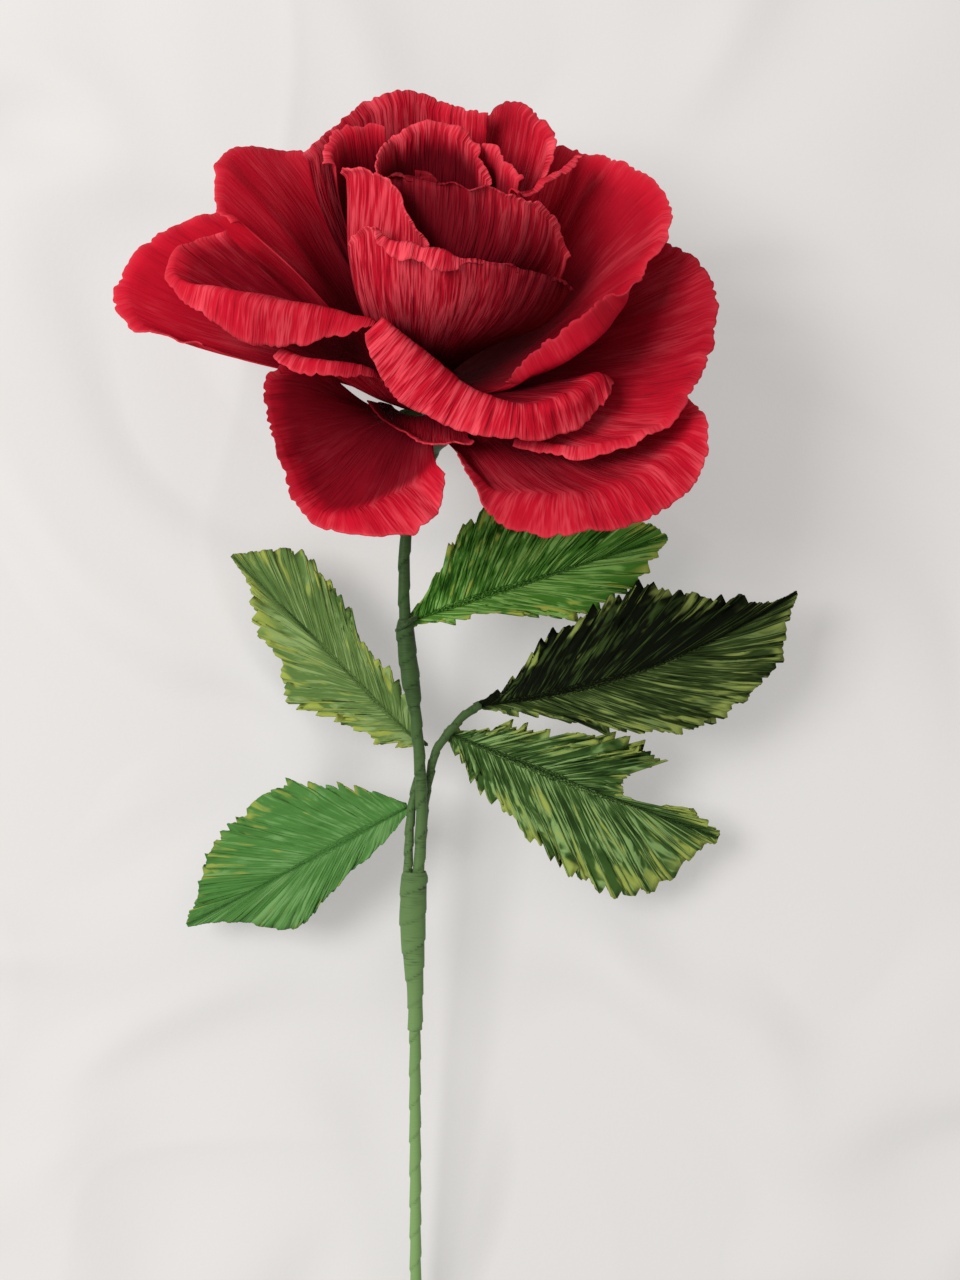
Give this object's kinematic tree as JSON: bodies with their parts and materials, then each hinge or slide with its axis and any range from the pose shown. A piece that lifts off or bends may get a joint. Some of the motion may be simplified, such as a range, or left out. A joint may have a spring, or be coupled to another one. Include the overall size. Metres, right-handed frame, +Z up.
{
  "type": "crepe paper rose",
  "caption": "Full-blown red crepe paper rose with curled petals, on a taped wire stem with fringed green paper leaves, lying on its back.",
  "frame": {"origin": "middle of the underside of the bounding box, on the surface the rose lies on", "axes": "+Z up from the surface, +Y along the stem towards the flower, +X to the right of the flower seen from above"},
  "size_m": [0.162, 0.3834, 0.0888],
  "materials": {
    "petal_paper": "crinkled crepe, matt with a soft sheen",
    "leaf_paper": "crinkled crepe, matt",
    "stem_tape": "waxed crepe tape, satin",
    "wire": "drawn"
  },
  "bodies": {
    "root": {"petal_inner_back": "petal_paper", "petal_inner_right": "petal_paper", "petal_inner_left": "petal_paper", "petal_inner_front": "petal_paper", "petal_cup_back": "petal_paper", "petal_cup_back_right": "petal_paper", "petal_cup_left": "petal_paper", "petal_cup_right": "petal_paper", "petal_cup_front": "petal_paper", "petal_upper_left": "petal_paper", "petal_upper_right": "petal_paper", "petal_left_boat": "petal_paper", "petal_front_lip": "petal_paper", "petal_right_outer": "petal_paper", "petal_left_under": "petal_paper", "petal_far_left": "petal_paper", "petal_front_under": "petal_paper", "petal_lower_left": "petal_paper", "petal_lower_right": "petal_paper", "petal_back_left": "petal_paper", "petal_back_right": "petal_paper", "petal_back_middle": "petal_paper", "centre_roll": "petal_paper", "sepal_1": "leaf_paper", "sepal_2": "leaf_paper", "sepal_3": "leaf_paper", "sepal_4": "leaf_paper", "sepal_5": "leaf_paper", "leaf_upper_right": "leaf_paper", "leaf_upper_left": "leaf_paper", "leaf_lower_left": "leaf_paper", "leaf_lower_right": "leaf_paper", "leaf_bitten": "leaf_paper", "rib_upper_right": "stem_tape", "rib_upper_left": "stem_tape", "rib_lower_left": "stem_tape", "rib_lower_right": "stem_tape", "rib_bitten": "stem_tape", "stem_wire": "wire", "stem_tape": "stem_tape", "calyx_tape": "stem_tape", "upper_binding": "stem_tape", "lower_binding": "stem_tape", "spray_stalk": "stem_tape", "side_stalk": "stem_tape"}
  },
  "joints": []
}
